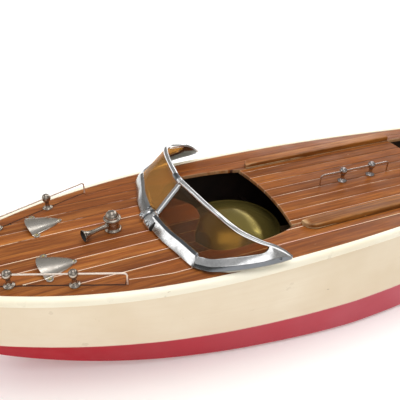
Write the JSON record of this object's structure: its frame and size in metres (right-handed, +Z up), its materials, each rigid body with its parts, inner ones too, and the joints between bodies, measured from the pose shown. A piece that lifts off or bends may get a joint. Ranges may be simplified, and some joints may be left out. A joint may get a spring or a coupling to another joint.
{
  "type": "model speedboat",
  "caption": "Planked wooden model speedboat with wrap-round windscreen, deck fittings, lift-off engine hatch, glow engine, inclined propeller shaft and rudder.",
  "frame": {"origin": "on the flat of the bottom, on the centre line, midway between the transom's outer face and the stem", "axes": "+X to the bow, +Y to port, +Z up"},
  "size_m": [0.72, 0.1736, 0.1341],
  "materials": {
    "cream_paint": "gloss paint, aged",
    "red_paint": "satin paint",
    "mahogany": "varnished, scored plank seams",
    "plain_wood": "bare plywood",
    "brass": "polished, lightly tarnished",
    "bronze": "machined",
    "alloy": "cast and machined",
    "steel": "ground",
    "nickel": "aged nickel plate",
    "bright_chrome": "chrome plate",
    "amber_pane": "amber celluloid",
    "fuel_tube": "translucent"
  },
  "bodies": {
    "hull": {"hull_bottom": "red_paint", "hull_side_port": "cream_paint", "hull_side_starboard": "cream_paint", "transom_board": "mahogany", "gunwale_port": "cream_paint", "gunwale_starboard": "cream_paint", "deck": "mahogany", "hatch_ledges": "plain_wood", "bulkheads": "plain_wood", "cockpit_floor": "plain_wood", "aft_cockpit_floor": "plain_wood", "skeg": "red_paint", "strip_port": "mahogany", "strip_starboard": "mahogany", "tank_body": "brass", "tank_dome": "brass", "fuel_line": "fuel_tube", "engine_bearers": "plain_wood", "mount_screws": "steel", "crankcase": "alloy", "backplate": "alloy", "shaft_bush": "bronze", "cylinder_jacket": "alloy", "cylinder_liner": "steel", "cylinder_head": "alloy", "engine_screws": "steel", "glow_plug": "brass", "piston": "steel", "connecting_rod": "alloy", "crank_pins": "steel", "intake_venturi": "alloy", "spray_bar": "brass", "exhaust_stack": "alloy", "stern_tube": "brass", "tube_block": "plain_wood", "stern_bushes": "bronze", "rudder_tube": "brass", "windscreen_frame_port": "bright_chrome", "windscreen_frame_starboard": "bright_chrome", "windscreen_pane_port": "amber_pane", "windscreen_pane_starboard": "amber_pane", "windscreen_post": "bright_chrome", "vent_port": "nickel", "vent_starboard": "nickel", "vent_pins": "brass", "horn_body": "nickel", "horn_trumpet": "nickel", "foredeck_rails": "nickel", "foredeck_stanchions": "nickel"},
    "hatch": {"engine_hatch": "mahogany", "hatch_rail": "nickel", "hatch_stanchions": "nickel"},
    "drive": {"crankshaft": "steel", "flywheel": "brass", "shaft_coupling": "brass", "propeller_shaft": "steel", "propeller": "brass"},
    "rudder": {"rudder": "brass", "tiller_arm": "brass"},
    "needle": {"needle_valve": "brass"}
  },
  "joints": [
    {"name": "hatch_lift", "type": "slide", "parent": "hull", "child": "hatch", "axis": [0, 0, 1], "range_m": [0, 0.15]},
    {"name": "drive_spin", "type": "hinge", "parent": "hull", "child": "drive", "pos_m": [0.015, 0, 0.0396], "axis": [0.9972, 0, 0.0745], "continuous": true},
    {"name": "rudder_turn", "type": "hinge", "parent": "hull", "child": "rudder", "pos_m": [-0.338, 0, 0.05], "axis": [0, 0, 1], "range_deg": [-35, 35]},
    {"name": "needle_turn", "type": "hinge", "parent": "hull", "child": "needle", "pos_m": [-0.01013, 0, 0.05377], "axis": [0, 1, 0], "range_deg": [-720, 720]}
  ]
}
